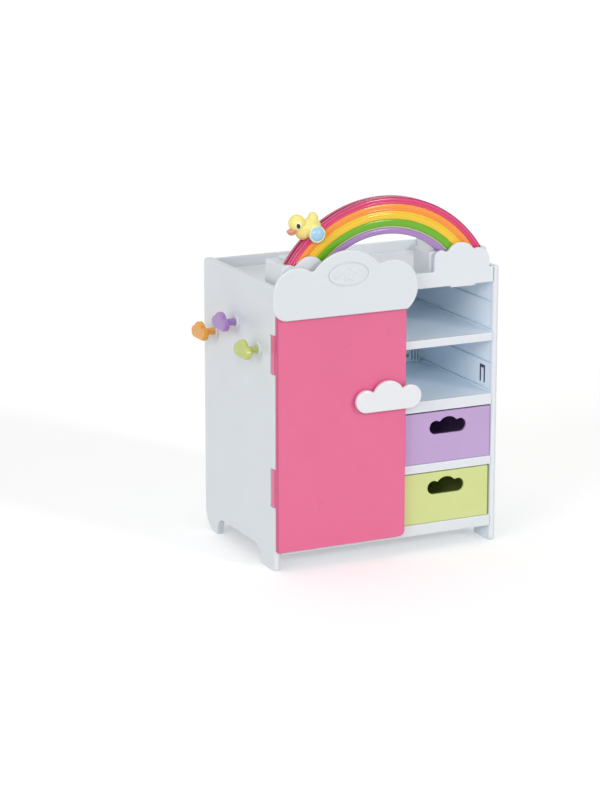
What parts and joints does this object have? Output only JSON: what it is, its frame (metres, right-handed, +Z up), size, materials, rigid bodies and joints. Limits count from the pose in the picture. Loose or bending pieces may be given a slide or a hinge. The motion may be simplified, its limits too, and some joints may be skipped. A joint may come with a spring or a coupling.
{
  "type": "doll wardrobe",
  "caption": "Doll wardrobe with a hinged door, drawers, open shelves, a clothes rail with hangers, cloud trims and a striped rainbow with a sliding duckling on the roof.",
  "frame": {"origin": "on the floor, at the middle of the whole footprint with the door closed", "axes": "+Z up, the front with the door faces -Y, +X to the right of someone facing the door"},
  "size_m": [0.385, 0.2624, 0.5222],
  "materials": {
    "beak_orange": "gloss",
    "duckling_yellow": "gloss",
    "eye_black": "gloss",
    "green_gloss": "gloss",
    "green_hanger_plastic": "gloss",
    "green_knob_plastic": "gloss",
    "green_plastic": "satin",
    "light_strip": "satin",
    "lilac_hanger_plastic": "gloss",
    "orange_gloss": "gloss",
    "orange_knob_plastic": "gloss",
    "pink_gloss": "gloss",
    "pink_hanger_plastic": "gloss",
    "pink_plastic": "satin",
    "purple_gloss": "gloss",
    "purple_knob_plastic": "gloss",
    "purple_plastic": "satin",
    "steel": "zinc plated",
    "switch_grey": "satin",
    "white_gloss": "gloss",
    "white_plastic": "satin",
    "wing_blue": "gloss",
    "yellow_gloss": "gloss"
  },
  "bodies": {
    "cabinet": {"back_panel": "white_plastic", "base_board": "white_plastic", "battery_cover": "white_plastic", "battery_cover_screw": "steel", "clothes_rail": "white_gloss", "divider_panel": "white_plastic", "drawer_shelf": "white_plastic", "green_band": "green_gloss", "green_knob": "green_knob_plastic", "green_knob_base": "white_plastic", "left_foot_cloud": "white_plastic", "left_pod": "white_plastic", "left_rail_socket": "white_plastic", "left_side_panel": "white_plastic", "light_strip": "light_strip", "lower_hinge_pin": "steel", "lower_left_back_screw": "steel", "lower_right_back_screw": "steel", "lower_shelf": "white_plastic", "orange_band": "orange_gloss", "orange_knob": "orange_knob_plastic", "orange_knob_base": "white_plastic", "pink_band": "pink_gloss", "purple_band": "purple_gloss", "purple_knob": "purple_knob_plastic", "purple_knob_base": "white_plastic", "right_foot_cloud": "white_plastic", "right_pod": "white_plastic", "right_rail_socket": "white_plastic", "right_side_panel": "white_plastic", "top_tray": "white_plastic", "upper_hinge_pin": "steel", "upper_left_back_screw": "steel", "upper_right_back_screw": "steel", "upper_shelf": "white_plastic", "yellow_band": "yellow_gloss"},
    "door": {"door_panel": "pink_plastic", "door_handle_cloud": "white_gloss", "front_cloud": "white_plastic", "handle_screw_1": "steel", "handle_screw_2": "steel", "cloud_screw_1": "steel", "cloud_screw_2": "steel"},
    "duckling": {"duckling_body": "duckling_yellow", "duckling_beak": "beak_orange", "duckling_front_eye": "eye_black", "duckling_rear_eye": "eye_black", "duckling_front_wing": "wing_blue", "duckling_rear_wing": "wing_blue"},
    "purple_drawer": {"purple_drawer": "purple_plastic"},
    "green_drawer": {"green_drawer": "green_plastic"},
    "power_switch": {"power_switch": "switch_grey"},
    "pink_hanger": {"pink_hanger": "pink_hanger_plastic"},
    "green_hanger": {"green_hanger": "green_hanger_plastic"},
    "lilac_hanger": {"lilac_hanger": "lilac_hanger_plastic"}
  },
  "joints": [
    {"name": "door_swing", "type": "hinge", "parent": "cabinet", "child": "door", "pos_m": [-0.1585, -0.10285, 0.205], "axis": [0, 0, -1], "range_deg": [0, 105]},
    {"name": "purple_drawer_slide", "type": "slide", "parent": "cabinet", "child": "purple_drawer", "axis": [0, -1, 0], "range_m": [0, 0.15]},
    {"name": "green_drawer_slide", "type": "slide", "parent": "cabinet", "child": "green_drawer", "axis": [0, -1, 0], "range_m": [0, 0.15]},
    {"name": "duckling_slide", "type": "hinge", "parent": "cabinet", "child": "duckling", "pos_m": [0.01251, -0.09785, 0.34141], "axis": [0, 1, 0], "range_deg": [0, 78]},
    {"name": "power_switch_slide", "type": "slide", "parent": "cabinet", "child": "power_switch", "axis": [1, 0, 0], "range_m": [0, 0.005]},
    {"name": "pink_hanger_swing", "type": "hinge", "parent": "cabinet", "child": "pink_hanger", "pos_m": [-0.105, 0.00915, 0.345], "axis": [1, 0, 0], "range_deg": [-20, 20]},
    {"name": "green_hanger_swing", "type": "hinge", "parent": "cabinet", "child": "green_hanger", "pos_m": [-0.0624, 0.00915, 0.345], "axis": [1, 0, 0], "range_deg": [-20, 20]},
    {"name": "lilac_hanger_swing", "type": "hinge", "parent": "cabinet", "child": "lilac_hanger", "pos_m": [-0.0197, 0.00915, 0.345], "axis": [1, 0, 0], "range_deg": [-20, 20]}
  ]
}
